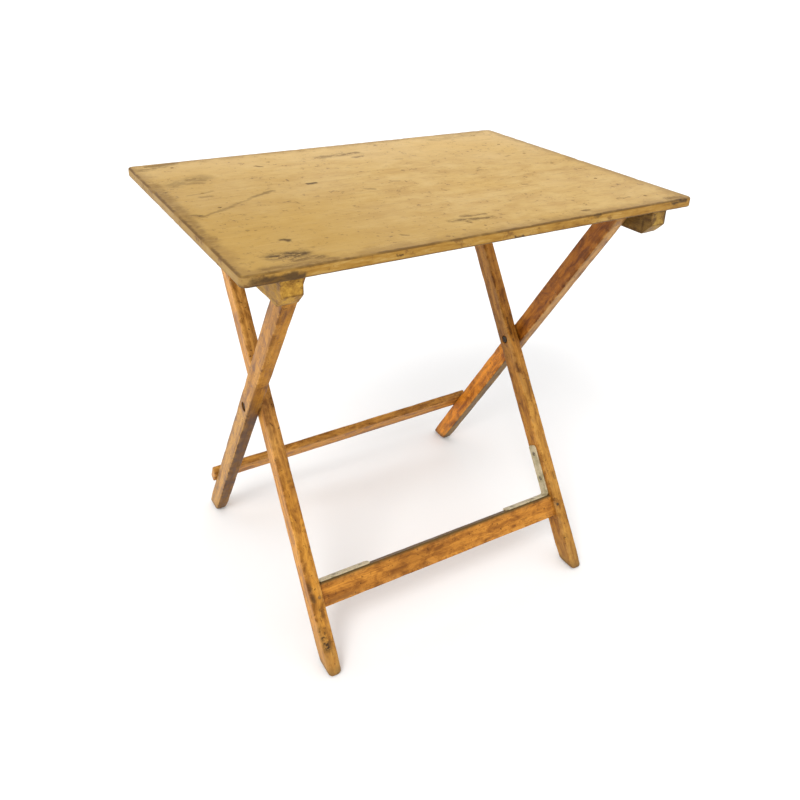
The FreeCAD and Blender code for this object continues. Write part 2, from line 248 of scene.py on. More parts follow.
# worn marks on the board: start and end on its surface (m), half width, strength
BOARD_MARKS = (
    ((-0.187, 0.034), (-0.222, 0.018), 0.0058, 0.52),
    ((-0.222, 0.018), (-0.262, -0.012), 0.0046, 0.30),
    ((-0.262, -0.012), (-0.306, -0.034), 0.0056, 0.42),
    ((-0.117, 0.047), (-0.130, 0.045), 0.0056, 0.95),
    ((-0.160, 0.171), (-0.156, 0.163), 0.0050, 0.70),
    ((-0.252, -0.157), (-0.248, -0.163), 0.0066, 0.90),
    ((-0.276, 0.136), (-0.258, 0.126), 0.0090, 0.50),
    ((-0.286, 0.118), (-0.262, 0.112), 0.0070, 0.40),
    ((-0.318, -0.026), (-0.308, -0.036), 0.0060, 0.50),
    ((-0.286, 0.047), (-0.270, 0.044), 0.0060, 0.35),
    ((-0.012, 0.010), (-0.004, 0.004), 0.0046, 0.40),
    ((-0.066, -0.012), (-0.054, -0.018), 0.0050, 0.38),
    ((0.141, 0.006), (0.146, 0.005), 0.0048, 0.60),
    ((0.155, -0.088), (0.160, -0.091), 0.0046, 0.50),
    ((0.150, -0.226), (0.159, -0.229), 0.0048, 0.70),
    ((0.232, -0.205), (0.252, -0.206), 0.0034, 0.40),
    ((-0.018, -0.196), (-0.016, -0.200), 0.0046, 0.60),
    ((-0.120, -0.204), (-0.116, -0.208), 0.0042, 0.50),
    ((-0.300, 0.060), (-0.262, 0.066), 0.0040, 0.30),
    ((-0.312, 0.232), (-0.262, 0.239), 0.0060, 0.75),
    ((0.060, 0.120), (0.070, 0.116), 0.0040, 0.35),
    ((0.236, 0.060), (0.246, 0.064), 0.0040, 0.35),
)
# rubbed patches: start, end, half width, strength
BOARD_RUBS = (
    ((-0.284, -0.206), (-0.250, -0.210), 0.0170, 1.20),
    ((-0.266, -0.224), (-0.236, -0.228), 0.0110, 0.90),
    ((-0.310, -0.236), (-0.225, -0.240), 0.0080, 0.80),
    ((-0.050, 0.178), (0.022, 0.184), 0.0120, 0.80),
    ((0.004, 0.157), (0.018, 0.160), 0.0080, 0.80),
    ((-0.036, -0.186), (0.020, -0.196), 0.0090, 0.90),
    ((-0.012, -0.177), (0.020, -0.181), 0.0070, 0.80),
    ((-0.300, 0.120), (-0.255, 0.140), 0.0260, 0.55),
    ((-0.322, 0.215), (-0.270, 0.236), 0.0140, 0.80),
    ((-0.330, -0.150), (-0.326, 0.130), 0.0110, 0.60),
    ((0.190, 0.215), (0.300, 0.222), 0.0200, 0.35),
    ((0.296, -0.236), (0.322, -0.238), 0.0090, 0.90),
)
# dark patches on the board's front edge: start, end, half width, strength
EDGE_STAINS = (
    ((-0.322, -0.2475, 0.6405), (-0.268, -0.2475, 0.6400), 0.0078, 0.9),
    ((-0.336, -0.2400, 0.6380), (-0.318, -0.2475, 0.6385), 0.0060, 0.9),
    ((0.296, -0.2475, 0.6480), (0.322, -0.2475, 0.6470), 0.0046, 0.9),
    ((0.150, -0.2475, 0.6475), (0.160, -0.2475, 0.6470), 0.0040, 0.9),
    ((0.020, -0.2475, 0.6390), (0.034, -0.2475, 0.6385), 0.0036, 0.9),
    ((-0.150, -0.2475, 0.6440), (-0.142, -0.2475, 0.6430), 0.0026, 0.9),
)
# bump distance (m) and strength of wood and paint
WOOD_RELIEF = (0.0008, 0.6)


def board_paint():
    """Worn paint: a mottled top with marks, a dark rim, stained edges and a bare underside."""
    shader = Shader("board_paint")
    place = shader.position()
    x, y, z = (shader.axis(place, index) for index in range(3))
    cloud = shader.noise(place, 4.5, 4.0, 0.6)
    mottle = shader.noise(shader.scaled(place, (20.0, 30.0, 26.0)), 1.0, 6.0, 0.66, 0.3)
    streak = shader.noise(shader.scaled(place, (6.0, 95.0, 6.0)), 1.0, 5.0, 0.6, 0.3)
    fine = shader.noise(shader.scaled(place, (70.0, 480.0, 70.0)), 1.0, 3.0, 0.6)
    smear = shader.noise(shader.scaled(place, (26.0, 120.0, 30.0), (3.0, 1.0, 0.0)), 1.0, 5.0, 0.7, 0.4)
    near_left = shader.plus(shader.times(x, -1.0), y, -0.6)
    far = shader.plus(y, x, 0.16)
    colour = shader.ramp(mottle, ((0.34, (0.460, 0.279, 0.082)), (0.45, (0.500, 0.315, 0.098)),
                                  (0.55, (0.536, 0.348, 0.116)), (0.67, (0.566, 0.380, 0.140))))
    for value, low, high, share, other in (
            (cloud, 0.52, 0.68, 0.30, (0.540, 0.320, 0.075)),
            (near_left, -0.05, 0.36, 0.60, (0.400, 0.232, 0.040)),
            (far, 0.02, 0.30, 0.60, (0.660, 0.455, 0.195)),
            (streak, 0.54, 0.68, 0.17, (0.290, 0.158, 0.036)),
            (streak, 0.46, 0.33, 0.12, (0.660, 0.450, 0.180)),
            (smear, 0.60, 0.71, 0.26, (0.225, 0.126, 0.030))):
        colour = shader.layer(colour, value, low, high, share, other)
    colour = shader.layer(colour, shader.noise(place, 130.0, 3.0, 0.65), 0.59, 0.67, 0.75, (0.150, 0.078, 0.022),
                          within=shader.span(mottle, 0.56, 0.40, 0.25, 1.0))
    colour = shader.layer(colour, fine, 0.50, 0.66, 0.14, (0.240, 0.130, 0.038))

    # marks and rubbed patches, with ragged outlines
    wobble = shader.vector_math("SUBTRACT", shader.noise(place, 55.0, 4.0, 0.7, output="Color"), (0.5, 0.5, 0.5))
    moved = shader.vector_math("ADD", place, shader.vector_math("SCALE", wobble, scale=0.016))
    flat = shader.vector_math("MULTIPLY", moved, (1, 1, 0))
    grit = shader.noise(shader.scaled(place, (60.0, 190.0, 90.0)), 1.0, 5.0, 0.75, 0.3)
    marks = shader.strokes(flat, BOARD_MARKS, 0.2)
    rubs = shader.times(shader.strokes(flat, BOARD_RUBS, 0.1), shader.span(grit, 0.38, 0.54, 0.0, 0.8))
    is_top = shader.span(z, UNDERSIDE + 0.0100, UNDERSIDE + 0.0125)
    stain = shader.times(shader.math("MAXIMUM", marks, rubs), is_top)
    colour = shader.mix(stain, colour, (0.085, 0.046, 0.015))

    # dirt towards the edges, and the dark line where the paint has worn off the arris
    from_x = shader.math("SUBTRACT", TOP_HIGH.x, shader.math("ABSOLUTE", x))
    from_y = shader.math("SUBTRACT", TOP_HIGH.y, shader.math("ABSOLUTE", y))
    inset = shader.math("MINIMUM", from_x, from_y)
    ragged = shader.math("SUBTRACT", shader.noise(place, 48.0, 5.0, 0.72), 0.5)
    colour = shader.layer(colour, shader.plus(inset, ragged, 0.050), 0.026, 0.004, 0.60, (0.270, 0.148, 0.034))
    side = shader.attribute("side")
    rim = shader.span(shader.plus(inset, ragged, 0.0085), 0.0056, 0.0020, 0.0, 0.80)
    rim = shader.times(rim, shader.span(side, 0.98, 0.62))
    rim = shader.times(rim, shader.span(shader.noise(place, 22.0, 3.0, 0.6), 0.36, 0.50, 0.45, 1.0))

    # the board's edges, then its bare underside
    edge_noise = shader.noise(shader.scaled(place, (26.0, 26.0, 150.0)), 1.0, 5.0, 0.68)
    edge = shader.ramp(edge_noise, ((0.34, (0.210, 0.098, 0.016)), (0.45, (0.330, 0.168, 0.026)),
                                    (0.56, (0.385, 0.208, 0.040)), (0.68, (0.470, 0.290, 0.084))))
    for value, low, high, share, other in (
            (x, -0.30, -0.334, 0.60, (0.350, 0.226, 0.080)),
            (shader.noise(place, 40.0, 5.0, 0.72), 0.54, 0.64, 0.75, (0.165, 0.078, 0.020)),
            (z, UNDERSIDE + 0.0034, UNDERSIDE + 0.0010, 0.55, (0.150, 0.075, 0.020))):
        edge = shader.layer(edge, value, low, high, share, other)
    colour = shader.mix(shader.span(side, 0.35, 0.80), colour, edge)
    colour = shader.mix(rim, colour, (0.105, 0.050, 0.012))
    patch = shader.times(shader.strokes(moved, EDGE_STAINS, 0.2), shader.span(edge_noise, 0.34, 0.48, 0.55, 1.0))
    colour = shader.mix(patch, colour, (0.060, 0.032, 0.012))
    bare = shader.ramp(streak, ((0.36, (0.170, 0.088, 0.034)), (0.52, (0.290, 0.168, 0.074)),
                                (0.66, (0.380, 0.238, 0.115))))
    colour = shader.mix(shader.attribute("under"), colour, bare)

    rough = shader.plus(shader.span(cloud, 0.35, 0.65, 0.46, 0.60), stain, 0.15)
    # marks stay out of the height, which is worked out three times over and would overfill the node graph
    relief = shader.relief(*WOOD_RELIEF, (streak, 0.35), (fine, 0.30), (mottle, 0.5))
    return shader.finish(colour, rough, relief, gloss=0.14)


# shades of one wood colour along its noise, each a share of that colour times TINT_GAIN
TINT_GAIN = 1.5
SHADES = ((0.40, (0.31, 0.26, 0.21)), (0.475, (0.52, 0.49, 0.45)), (0.53, (0.69, 0.69, 0.68)),
          (0.60, (0.88, 0.94, 1.00)))
DARKER = (0.34, 0.27, 0.20)
DARKEST = (0.16, 0.12, 0.10)


def timber(name, tint, side=None, low=None, low_side=None, grain_axis=2, lean=0, seed=(0, 0, 0), low_from=0.30,
           top_darkening=0.0, foot=0.0, mottled=0.6, worn_edge=0.4, marks=(), rough=(0.40, 0.58), coat=0.04):
    """Old varnished or painted wood: streaks along its grain, patches, specks, rubbed arrises and dirt.

    Its front and side faces can differ in colour, and so can the parts of them below a height; on the legs and the
    right batten these tints hold painted shade as well as the wood's own colour. A piece's lean is 1 on the inner
    frame, -1 on the outer one and 0 on the top."""
    shader = Shader(name)
    place = shader.position(lean * LEAN, lean * FOOT_Y)
    world_z = shader.axis(shader.position(), 2)

    def stretched(across, along):
        scale = [across] * 3
        scale[grain_axis] = along
        return shader.scaled(place, tuple(scale), tuple(value * across * 0.1 for value in seed))

    grain = shader.noise(stretched(95.0, 4.0), 1.0, 6.0, 0.62, 0.6)
    patches = shader.noise(stretched(78.0, 34.0), 1.0, 5.0, 0.68, 0.5)
    broad = shader.noise(stretched(16.0, 6.0), 1.0, 3.0, 0.55)
    fine = shader.noise(stretched(520.0, 16.0), 1.0, 3.0, 0.6)
    # front, side and lower tints: on the legs and the right batten they paint shade as well as the wood's colour,
    # darker on faces or upper parts in the board's shadow or turned from the light
    lower = shader.span(shader.plus(world_z, broad, 0.06), low_from + 0.08, low_from)
    colour = shader.mix(lower, tint, low or tint)
    if side is not None:
        sideways = shader.span(shader.math("ABSOLUTE", shader.attribute("across")), 0.45, 0.85)
        colour = shader.mix(sideways, colour, shader.mix(lower, side, low_side or side))
    colour = shader.vector_math("SCALE", colour, scale=TINT_GAIN)
    shades = shader.ramp(shader.plus(shader.times(grain, 0.40), patches, 0.60), SHADES)
    colour = shader.mix(1.0, colour, shades, blend="MULTIPLY")
    for value, start, end, share, darker in (
            (patches, 0.56, 0.68, mottled, DARKER),
            (broad, 0.54, 0.66, 0.30 * mottled, DARKER),
            (fine, 0.52, 0.68, 0.30, DARKER),
            (shader.noise(place, 230.0, 2.0, 0.5), 0.66, 0.73, 0.8, DARKEST)):
        colour = shader.layer(colour, value, start, end, share, darker, blend="MULTIPLY")
    wear, chips = shader.attribute("wear"), shader.noise(place, 42.0, 5.0, 0.7)
    rubbed = shader.times(wear, shader.span(chips, 0.46, 0.60))
    colour = shader.mix(shader.times(rubbed, worn_edge), colour, (0.540, 0.310, 0.100))
    colour = shader.layer(colour, chips, 0.54, 0.42, 0.75, DARKER, within=wear, blend="MULTIPLY")
    # upward faces made darker, up to a share, broken up by the chip noise
    if top_darkening:
        colour = shader.layer(colour, shader.attribute("upward"), 0.25, 0.70, top_darkening, (0.082, 0.052, 0.014),
                              within=shader.span(chips, 0.30, 0.50, 0.55, 1.0))
    if foot:
        colour = shader.layer(colour, world_z, 0.075, 0.0, foot, (0.300, 0.185, 0.060),
                              within=shader.span(patches, 0.38, 0.60, 0.45, 1.0))
        colour = shader.layer(colour, world_z, 0.016, 0.002, 0.8, (0.110, 0.066, 0.022),
                              within=shader.span(chips, 0.35, 0.55, 0.3, 1.0))
    if marks:
        gaps = shader.span(shader.noise(place, 110.0, 4.0, 0.7), 0.42, 0.56, 0.15, 1.0)
        colour = shader.mix(shader.times(shader.strokes(place, marks, 0.1), gaps), colour, (0.045, 0.022, 0.007))
    roughness = shader.plus(shader.span(patches, 0.35, 0.65, *rough), rubbed, 0.15)
    relief = shader.relief(*WOOD_RELIEF, (grain, 0.55), (fine, 0.35), (patches, 0.35))
    return shader.finish(colour, roughness, relief, coat=coat, gloss=0.16)


def metal(name, base, tarnish, rust, rust_share, roughness, metallic=0.8):
    """Dull plated or rusted steel with cloudy tarnish, rust specks and brighter edges: worn plating, and a painted
    highlight along the bracket's edges.
    """
    shader = Shader(name)
    place = shader.position()
    cloud = shader.noise(place, 60.0, 5.0, 0.65)
    fine = shader.noise(place, 480.0, 4.0, 0.7)
    worn_edge_and_highlight = tuple(min(1.0, 1.35 * value) for value in base)
    colour = shader.layer(base, cloud, 0.42, 0.60, 1.0, tarnish)
    # brighter edges: partly worn plating, partly a painted highlight standing in for the light along the bracket
    # strip's edges
    colour = shader.layer(colour, cloud, 0.62, 0.45, 0.6, worn_edge_and_highlight, within=shader.attribute("wear"))
    spots = shader.span(shader.noise(place, 170.0, 5.0, 0.75), 0.55, 0.64, 0.0, rust_share)
    colour = shader.mix(spots, colour, rust)
    rough = shader.plus(shader.span(fine, 0.35, 0.65, roughness - 0.08, roughness + 0.10), spots, 0.25)
    relief = shader.relief(0.0002, 0.5, (fine, 0.4), (spots, 0.6))
    return shader.finish(colour, rough, relief, metallic=shader.plus(metallic, spots, -0.7 * metallic))


# ---- mesh building ----
def new_piece(name, mesh_data, material, body, node, matrix=None, smooth=38.0):
    """Turn a bmesh into a shown piece that rides on a CAD body and stands for a CAD node."""
    if matrix is not None:
        mesh_data.transform(matrix)
    bmesh.ops.recalc_face_normals(mesh_data, faces=mesh_data.faces)
    mesh = bpy.data.meshes.new(name)
    mesh_data.to_mesh(mesh)
    mesh_data.free()
    mesh.polygons.foreach_set("use_smooth", [True] * len(mesh.polygons))
    mesh.set_sharp_from_angle(angle=math.radians(smooth))
    mesh.materials.append(material)
    piece = bpy.data.objects.new(name, mesh)
    bpy.context.scene.collection.objects.link(piece)
    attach(piece, body)
    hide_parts(node)
    return piece


def rounded_outline(half_x, half_y, radius, flat_x, flat_y, arc=4):
    """Points round a rounded rectangle: (x, y, share of corner, normal x, normal y)."""
    points = []
    corners = ((1, 1), (-1, 1), (-1, -1), (1, -1))
    for quarter, (sx, sy) in enumerate(corners):
        centre = Vector((sx * (half_x - radius), sy * (half_y - radius)))
        for step in range(arc + 1):
            angle = math.radians(90 * (quarter + step / arc))
            normal = Vector((math.cos(angle), math.sin(angle)))
            share = 1 - abs(2 * step / arc - 1)
            point = centre + radius * normal
            points.append((point.x, point.y, 0.55 + 0.45 * share, normal.x, normal.y))
        nx, ny = corners[(quarter + 1) % 4]
        start = point
        finish = Vector((nx * (half_x - radius), ny * (half_y - radius))) + radius * normal
        count = flat_x if quarter % 2 == 0 else flat_y
        for step in range(1, count):
            place = start.lerp(finish, step / count)
            points.append((place.x, place.y, 0.3 if step in (1, count - 1) else 0.0, normal.x, normal.y))
    return points


def worn_share(point, radius, seed, wear, wave):
    """Share of its radius that a hand-worn point keeps: the wood is a little wavy, with chips on its arrises."""
    base = noise.noise(Vector((point.x * 18 + seed, point.y * 18, point.z * 7)))
    deep = noise.noise(Vector((point.x * 55, point.y * 55 + seed, point.z * 38)))
    depth = wave * (0.5 + 0.5 * base) + wear * CHIP * max(0.0, deep - 0.05)
    return 1 - min(depth / max(radius, 1e-6), 0.4)


def cap(mesh, loop, wear_layer):
    """A smaller, unworn loop inside an end face, so that only its rim is worn."""
    middle = sum((vertex.co for vertex in loop), Vector()) / len(loop)
    inner = []
    for vertex in loop:
        copy = mesh.verts.new(middle.lerp(vertex.co, 0.8), vertex)
        copy[wear_layer] = 0.0
        inner.append(copy)
    return inner


def skin(mesh, loops, wear_layer=None):
    """Close a stack of equal loops of vertices into a solid's surface."""
    if wear_layer is not None:
        loops = [cap(mesh, loops[0], wear_layer)] + loops + [cap(mesh, loops[-1], wear_layer)]
    for below, above in zip(loops, loops[1:]):
        for index in range(len(below)):
            following = (index + 1) % len(below)
            mesh.faces.new((below[index], below[following], above[following], above[index]))
    mesh.faces.new(list(reversed(loops[0])))
    mesh.faces.new(loops[-1])


def layers(mesh, *names):
    return [mesh.verts.layers.float.new(name) for name in names]


def bar(centre_x, size, z_from, z_to, seed, leg=False, lean=0.0, radius=2.2 * MM, arris=2.0 * MM, flat=(4, 6)):
    """Worn bar along Z with square ends, or a leg, with its foot cut level and its top rounded about X."""
    half_x, half_y = size[0] / 2, size[1] / 2
    start_round = FOOT_ROUND if leg else arris
    rings = []
    steps = 6
    for index in range(steps):
        angle = math.radians(90 * index / steps)
        inset = start_round * (1 - math.sin(angle)) * (0.85 if leg else 0.9)
        rings.append((z_from + start_round * (1 - math.cos(angle)), inset, inset, 1.0 - 0.5 * index / steps))
    last = z_to if leg else z_to - arris
    count = max(2, round((last - z_from - start_round) / (5 * MM)))
    first = z_from + start_round
    rings += [(first + (last - first) * index / count, 0.0, 0.0, 0.0) for index in range(count + 1)]
    if leg:
        for index in range(1, 13):
            angle = math.radians(90 * index / 12.35)
            rings.append((z_to + half_y * math.sin(angle), 0.0, half_y * (1 - math.cos(angle)), 0.35))
    else:
        for index in range(3, -1, -1):
            angle = math.radians(90 * index / 4)
            inset = arris * (1 - math.sin(angle)) * 0.9
            rings.append((z_to - arris * (1 - math.cos(angle)), inset, inset, 1.0))
    mesh = bmesh.new()
    wear_layer, across_layer, upward_layer = layers(mesh, "wear", "across", "upward")
    loops = []
    for z, inset_x, inset_y, end_wear in rings:
        corner = max(min(radius, half_y - inset_y - 0.05 * MM), 0.05 * MM)
        shear = 0.0
        if leg:
            corner += 3.0 * MM * max(0.0, 1 - (z - z_from) / (30 * MM))
            shear = max(0.0, 1 - (z - z_from) / (120 * MM))
        loop = []
        for u, v, wear, normal_u, normal_v in rounded_outline(half_x - inset_x, half_y - inset_y, corner, *flat):
            wear = max(wear, end_wear)
            shrink = worn_share(Vector((centre_x + u, v, z)), math.hypot(u, v), seed, wear, 0.22 * MM)
            place = Vector((centre_x + u * shrink, v * shrink, z))
            place.z -= v * shrink * math.tan(lean) * shear
            upward = max(normal_v, 0.9 * (v / half_y) ** 4 if v > 0 else 0.0)
            vertex = mesh.verts.new(place)
            vertex[wear_layer], vertex[across_layer], vertex[upward_layer] = wear, normal_u, upward
            loop.append(vertex)
        loops.append(loop)
    skin(mesh, loops, wear_layer)
    return mesh


def lying(x=0.0, y=0.0, z=0.0):
    """Matrix that lays a bar built along Z along X, with its start at a point."""
    return Matrix(((0, 0, 1, x), (1, 0, 0, y), (0, 1, 0, z), (0, 0, 0, 1)))


def cut_recess(piece, centre, depth_from, depth_to):
    """Cut the round recess of a bolt head or nut along X through a piece."""
    cutter = bmesh.new()
    middle = Vector(((depth_from + depth_to) / 2, centre.y, centre.z))
    bmesh.ops.create_cone(cutter, cap_ends=True, segments=28, radius1=RECESS_RADIUS, radius2=RECESS_RADIUS,
                          depth=abs(depth_to - depth_from),
                          matrix=Matrix.Translation(middle) @ Matrix.Rotation(math.radians(90), 4, "Y"))
    data = bpy.data.meshes.new("cutter")
    cutter.to_mesh(data)
    cutter.free()
    tool = bpy.data.objects.new("cutter", data)
    bpy.context.scene.collection.objects.link(tool)
    modifier = piece.modifiers.new("recess", "BOOLEAN")
    modifier.operation = "DIFFERENCE"
    modifier.solver = "EXACT"
    modifier.object = tool
    bpy.context.view_layer.update()
    result = bpy.data.meshes.new_from_object(piece.evaluated_get(bpy.context.evaluated_depsgraph_get()))
    piece.modifiers.clear()
    piece.data = result
    result.set_sharp_from_angle(angle=math.radians(38))
    bpy.data.objects.remove(tool)


def make_board():
    """Tabletop board: rounded corners, worn arrises, and masks for its side and underside."""
    thick = TOP_HIGH.z - TOP_LOW.z
    corner, arris, shy = 9 * MM, 2.6 * MM, 0.15 * MM
    worn_within = 3.2 * MM
    profile = [(inset, TOP_LOW.z, 0.0) for inset in (60 * MM, 24 * MM, 8 * MM)]
    for index in range(5):
        angle = math.radians(90 * index / 4)
        profile.append((arris * (1 - math.sin(angle)), TOP_LOW.z + arris * (1 - math.cos(angle)), index / 4))
    profile += [(0.0, TOP_LOW.z + arris + (thick - 2 * arris) * index / 4, 1.0) for index in range(1, 4)]
    for index in range(4, -1, -1):
        angle = math.radians(90 * index / 4)
        profile.append((arris * (1 - math.sin(angle)), TOP_HIGH.z - arris * (1 - math.cos(angle)) - shy, index / 4))
    profile += [(inset, TOP_HIGH.z - shy, 0.0) for inset in (4.5 * MM, 7 * MM, 12 * MM, 24 * MM, 60 * MM)]
    mesh = bmesh.new()
    side_layer, under_layer = layers(mesh, "side", "under")
    loops = []
    for inset, z, side in profile:
        near_rim = min(z - TOP_LOW.z, TOP_HIGH.z - z) < arris
        wear = 1.0 if inset < worn_within and near_rim else 0.0
        outline = rounded_outline(TOP_HIGH.x - inset - shy, TOP_HIGH.y - inset - shy,
                                  max(corner - inset, 1 * MM), 150, 110, 8)
        loop = []
        for u, v, _, normal_u, normal_v in outline:
            chips = noise.noise(Vector((u * 60, v * 60, z * 60)))
            chips += 0.5 * noise.noise(Vector((u * 190, v * 190, z * 90)))
            depth = wear * 1.1 * MM * max(0.0, chips - 0.12)
            if inset < worn_within:
                depth += 0.35 * MM * (0.5 + 0.5 * noise.noise(Vector((u * 9, v * 9, 3.1))))
            vertex = mesh.verts.new((u - normal_u * depth, v - normal_v * depth, z))
            if z > TOP_HIGH.z - arris:
                vertex.co.z -= wear * 0.5 * depth
            vertex[side_layer] = side
            vertex[under_layer] = 1.0 if z < TOP_LOW.z + 0.6 * MM else 0.0
            loop.append(vertex)
        loops.append(loop)
    skin(mesh, loops)
    return mesh


def make_batten(low, high, seed):
    """Strip under the board with 45 degree cuts at both ends and worn arrises, built along Y."""
    half_x, middle_x = (high.x - low.x) / 2 - 0.1 * MM, (high.x + low.x) / 2
    length = high.y - low.y
    ends = [value * MM for value in (0.3, 0.8, 1.6, 4, 8, 12, 15, 15.7, 16.4, 18)]
    distances = ends + [20 * MM + (length - 40 * MM) * index / 80 for index in range(81)]
    distances += [length - value for value in reversed(ends)]
    mesh = bmesh.new()
    wear_layer, across_layer, upward_layer = layers(mesh, "wear", "across", "upward")
    loops = []
    for distance in distances:
        from_end = min(distance, length - distance)
        bottom = low.z + max(0.0, CHAMFER - from_end) + (0.5 * MM if 15 * MM < from_end < 16.2 * MM else 0.0)
        end_wear = 1.0 if from_end < 1.2 * MM or abs(from_end - CHAMFER) < 1.2 * MM else 0.0
        inset = 1.4 * MM * max(0.0, 1 - from_end / (1.6 * MM)) ** 2
        half_z = (high.z - bottom) / 2
        outline = rounded_outline(half_x - inset, half_z - 0.5 * inset, min(1.6 * MM, half_z * 0.5), 5, 6)
        loop = []
        for u, v, wear, normal_u, normal_v in outline:
            wear = max(0.2 * wear if v > 0 else wear, end_wear)
            point = Vector((middle_x + u, bottom + v, low.y + distance))
            shrink = worn_share(point, math.hypot(u, v), seed, wear, 0.2 * MM)
            vertex = mesh.verts.new((middle_x + u * shrink, low.y + distance, bottom + half_z + v * shrink))
            vertex[wear_layer], vertex[across_layer], vertex[upward_layer] = wear, normal_u, normal_v
            loop.append(vertex)
        loops.append(loop)
    skin(mesh, loops, wear_layer)
    return mesh


def make_bracket(side, low, high):
    """Bent steel strip with rounded ends, in the upright inner frame."""
    thick, bend, end_radius, rim = 2.2 * MM, 4.0 * MM, 4.5 * MM, 0.45 * MM
    corner_x = high.x if side > 0 else low.x
    arm = high.z - low.z
    half = (high.y - low.y) / 2
    mid_y = (high.y + low.y) / 2
    straight = arm - bend - thick
    arc = (bend + thick / 2) * math.pi / 2
    total = 2 * straight + arc

    def on_path(distance, height):
        """Point of the strip at a distance along its middle line; height is towards the inside of the bend."""
        if distance < straight:
            across, up = arm - distance, thick / 2 + height
        elif distance < straight + arc:
            angle = (distance - straight) / arc * math.pi / 2
            reach = bend + thick / 2 - height
            across = bend + thick - reach * math.sin(angle)
            up = bend + thick - reach * math.cos(angle)
        else:
            across, up = thick / 2 + height, bend + thick + distance - straight - arc
        return Vector((corner_x - side * across, 0, low.z + up))

    count, rows = 26, 10
    arm_path = [end_radius * (1 - math.cos(math.radians(15 * index))) for index in range(7)]
    arm_path += [end_radius + (straight - end_radius) * index / count for index in range(1, count)]
    path = arm_path + [straight + arc * index / 10 for index in range(11)]
    path += [total - value for value in reversed(arm_path)]
    mesh = bmesh.new()
    (wear_layer,) = layers(mesh, "wear")
    profile = ((rim, -thick / 2), (0.0, -thick / 2 + rim), (0.0, thick / 2 - rim), (rim, thick / 2))
    loops = []
    for distance in path:
        near = min(distance, total - distance)
        rounding = 0.0
        if near < end_radius:
            rounding = end_radius - math.sqrt(max(end_radius ** 2 - (end_radius - near) ** 2, 0))
        width = max(half - rounding, half - end_radius + 0.5 * MM)
        section = [(width - inset, height, 1.0) for inset, height in profile]
        section += [((width - rim) * (1 - 2 * index / rows), thick / 2, 0.0) for index in range(1, rows)]
        section += [(-(width - inset), height, 1.0) for inset, height in reversed(profile)]
        section += [(-(width - rim) * (1 - 2 * index / rows), -thick / 2, 0.0) for index in range(1, rows)]
        loop = []
        for across, height, wear in section:
            point = on_path(distance, height)
            vertex = mesh.verts.new((point.x, mid_y + across, point.z))
            vertex[wear_layer] = wear if near > 0.3 * MM else 1.0
            loop.append(vertex)
        loops.append(loop)
    skin(mesh, loops)
    return mesh


def revolve(mesh, profile, matrix, segments):
    """Add a closed body of revolution about Z to a bmesh: profile is (radius, height) from tip to tip."""
    loops = []
    for radius, height in profile:
        angles = [2 * math.pi * index / segments for index in range(segments)] if radius > 1e-7 else [0.0]
        loops.append([mesh.verts.new(matrix @ Vector((radius * math.cos(angle), radius * math.sin(angle), height)))
                      for angle in angles])
    for below, above in zip(loops, loops[1:]):
        for index in range(segments):
            following = (index + 1) % segments
            if len(below) == 1:
                corners = (below[0], above[index], above[following])
            elif len(above) == 1:
                corners = (below[index], below[following], above[0])
            else:
                corners = (below[index], below[following], above[following], above[index])
            mesh.faces.new(corners)


def slotted_head(mesh, matrix, slot_turn):
    """Raised countersunk screw head with a real slot: two half discs with a sunk floor between them."""
    slot_half, slot_deep, dome = 0.55 * MM, 1.0 * MM, 0.55 * MM
    turn = matrix @ Matrix.Rotation(slot_turn, 4, "Z")
    steps, rows = 16, 5
    limit = math.asin(slot_half / HEAD_RADIUS)
    angles = [limit + (math.pi - 2 * limit) * index / steps for index in range(steps + 1)]

    def row_of(points):
        return [mesh.verts.new(turn @ Vector(point)) for point in points]

    def strip(first, second):
        for index in range(steps):
            mesh.faces.new((first[index], first[index + 1], second[index + 1], second[index]))

    for sign in (-1, 1):
        grid = []
        for row in range(rows + 1):
            points = []
            for angle in angles:
                x = HEAD_RADIUS * math.cos(angle)
                y = slot_half + (HEAD_RADIUS * math.sin(angle) - slot_half) * row / rows
                points.append((x, sign * y, -dome * (1 - (x * x + y * y) / HEAD_RADIUS ** 2)))
            grid.append(row_of(points))
        for first, second in zip(grid, grid[1:]):
            strip(first, second)
        strip(grid[0], row_of((HEAD_RADIUS * math.cos(angle), sign * slot_half, slot_deep) for angle in angles))
        rim = HEAD_RADIUS * 0.96
        strip(grid[-1], row_of((rim * math.cos(angle), sign * rim * math.sin(angle), HEAD_DEPTH)
                               for angle in angles))
    corners = ((-1, -1), (1, -1), (1, 1), (-1, 1))
    mesh.faces.new(row_of((x * HEAD_RADIUS * 0.99, y * slot_half, slot_deep) for x, y in corners))
    bmesh.ops.remove_doubles(mesh, verts=mesh.verts, dist=0.02 * MM)


def aim(point, direction):
    """Matrix that puts Z along a direction at a point."""
    turn = Vector(direction).to_track_quat("Z", "Y").to_matrix().to_4x4()
    return Matrix.Translation(point) @ turn


def islands(node):
    """Points of each separate solid of a grouped CAD node, in order of the solids' middles."""
    mesh = bmesh.new()
    mesh.from_mesh(frame["nodes"][node].data)
    bmesh.ops.remove_doubles(mesh, verts=mesh.verts, dist=0.001 * MM)
    seen, found = set(), []
    for start in mesh.verts:
        if start in seen:
            continue
        seen.add(start)
        stack, island = [start], []
        while stack:
            vertex = stack.pop()
            island.append(vertex.co.copy())
            for edge in vertex.link_edges:
                other = edge.other_vert(vertex)
                if other not in seen:
                    seen.add(other)
                    stack.append(other)
        found.append(island)
    mesh.free()
    return sorted(found, key=lambda island: tuple(round(c, 5) for c in sum(island, Vector()) / len(island)))


def screw_head_point(island, direction):
    """Middle of a screw's head face: the face is the one furthest against its direction."""
    direction = Vector(direction).normalized()
    nearest = min(point.dot(direction) for point in island)
    face = [point for point in island if point.dot(direction) < nearest + 0.02 * MM]
    return sum(face, Vector()) / len(face)


